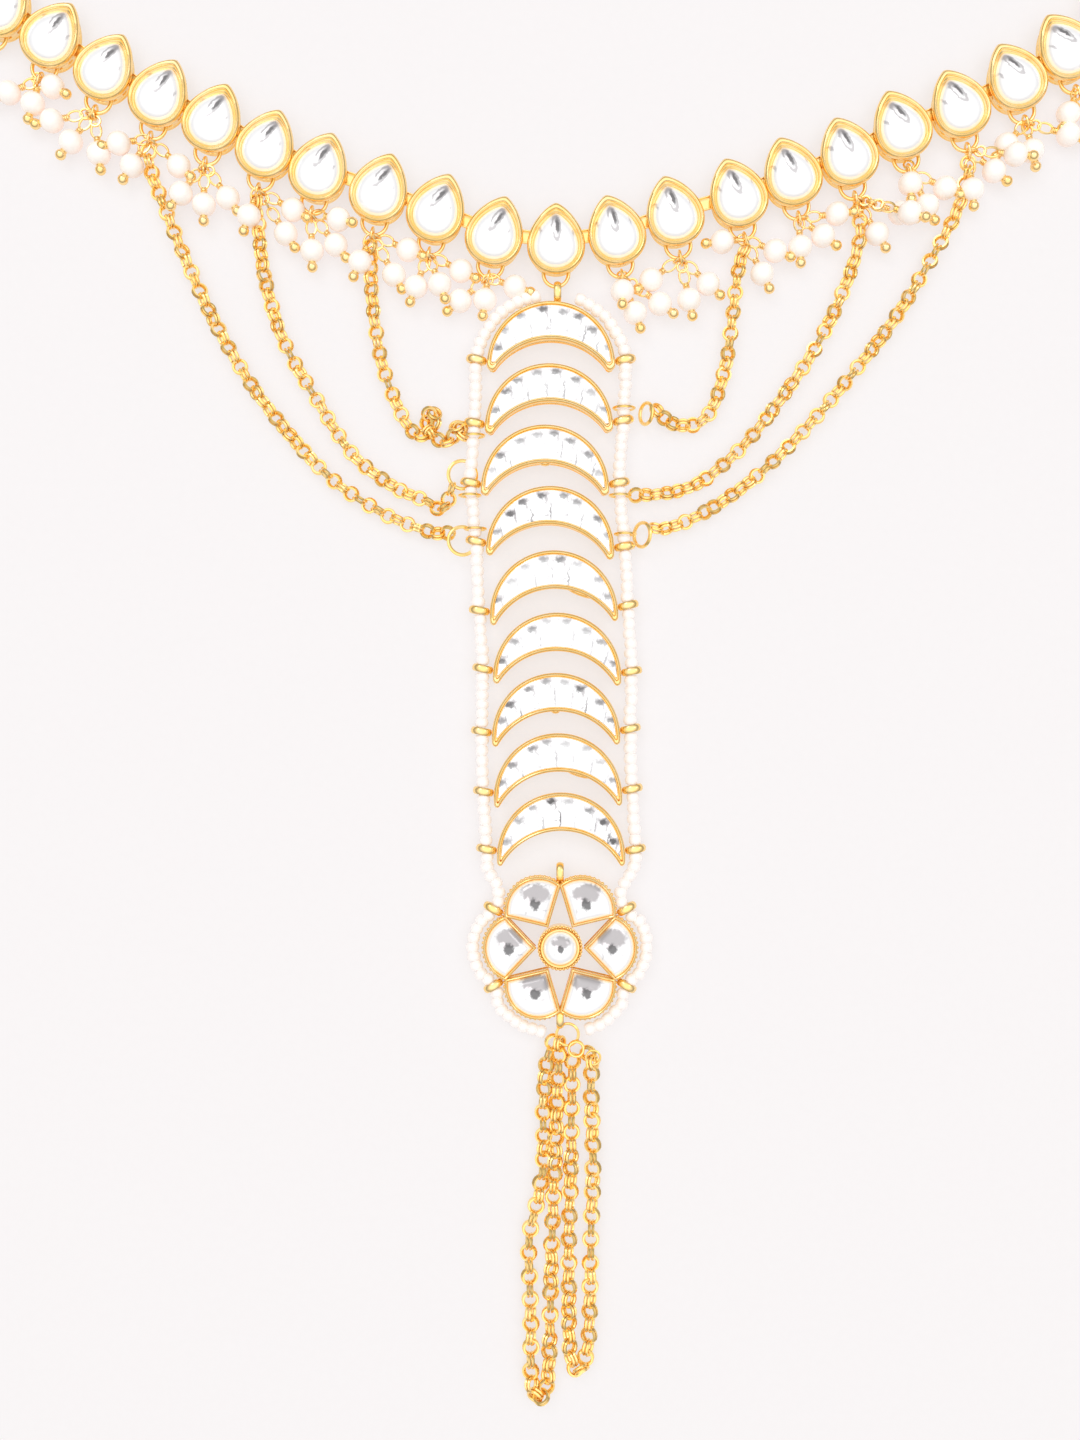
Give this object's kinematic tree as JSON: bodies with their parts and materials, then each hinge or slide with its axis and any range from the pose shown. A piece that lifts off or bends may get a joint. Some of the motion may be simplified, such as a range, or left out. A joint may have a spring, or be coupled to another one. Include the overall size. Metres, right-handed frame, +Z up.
{
  "type": "ring bracelet",
  "caption": "Ring bracelet worn over the back of the hand: a wrist strap of pear stones with pearl drops, a panel of crescents, a flower and finger chains.",
  "frame": {"origin": "the middle of the flat underside's box, on the surface that the bracelet lies on", "axes": "+Y from the finger chains to the wrist strap, +X to the right as seen from above, +Z up out of the stones"},
  "size_m": [0.122, 0.1528, 0.003],
  "materials": {
    "gold_setting": "polished yellow gold plating with closed, foil-backed stones",
    "gold_chain": "polished yellow gold plating",
    "stone": "clear cut stone over a bright foil",
    "pearl": "cream pearl lustre",
    "seed_bead": "opaque white, glossy"
  },
  "bodies": {
    "root": {"pear_centre": "gold_setting", "pear_left_01": "gold_setting", "pear_left_02": "gold_setting", "pear_left_03": "gold_setting", "pear_left_04": "gold_setting", "pear_left_05": "gold_setting", "pear_left_06": "gold_setting", "pear_left_07": "gold_setting", "pear_left_08": "gold_setting", "pear_left_09": "gold_setting", "pear_left_10": "gold_setting", "pear_right_01": "gold_setting", "pear_right_02": "gold_setting", "pear_right_03": "gold_setting", "pear_right_04": "gold_setting", "pear_right_05": "gold_setting", "pear_right_06": "gold_setting", "pear_right_07": "gold_setting", "pear_right_08": "gold_setting", "pear_right_09": "gold_setting", "pear_right_10": "gold_setting", "crescent_01": "gold_setting", "crescent_02": "gold_setting", "crescent_03": "gold_setting", "crescent_04": "gold_setting", "crescent_05": "gold_setting", "crescent_06": "gold_setting", "crescent_07": "gold_setting", "crescent_08": "gold_setting", "crescent_09": "gold_setting", "flower": "gold_setting", "pearl_drops_left_01": "pearl", "pearl_drops_left_02": "pearl", "pearl_drops_left_04": "pearl", "pearl_drops_left_06": "pearl", "pearl_drops_left_08": "pearl", "pearl_drops_left_09": "pearl", "pearl_drops_right_01": "pearl", "pearl_drops_right_02": "pearl", "pearl_drops_right_04": "pearl", "pearl_drops_right_06": "pearl", "pearl_drops_right_08": "pearl", "pearl_drops_right_09": "pearl", "side_chain_left_inner": "gold_chain", "side_chain_left_middle": "gold_chain", "side_chain_left_outer": "gold_chain", "side_chain_right_inner": "gold_chain", "side_chain_right_middle": "gold_chain", "side_chain_right_outer": "gold_chain", "finger_chains": "gold_chain", "closing_chain": "gold_chain", "clasp": "gold_chain", "bead_string_left": "seed_bead", "bead_string_right": "seed_bead"}
  },
  "joints": []
}
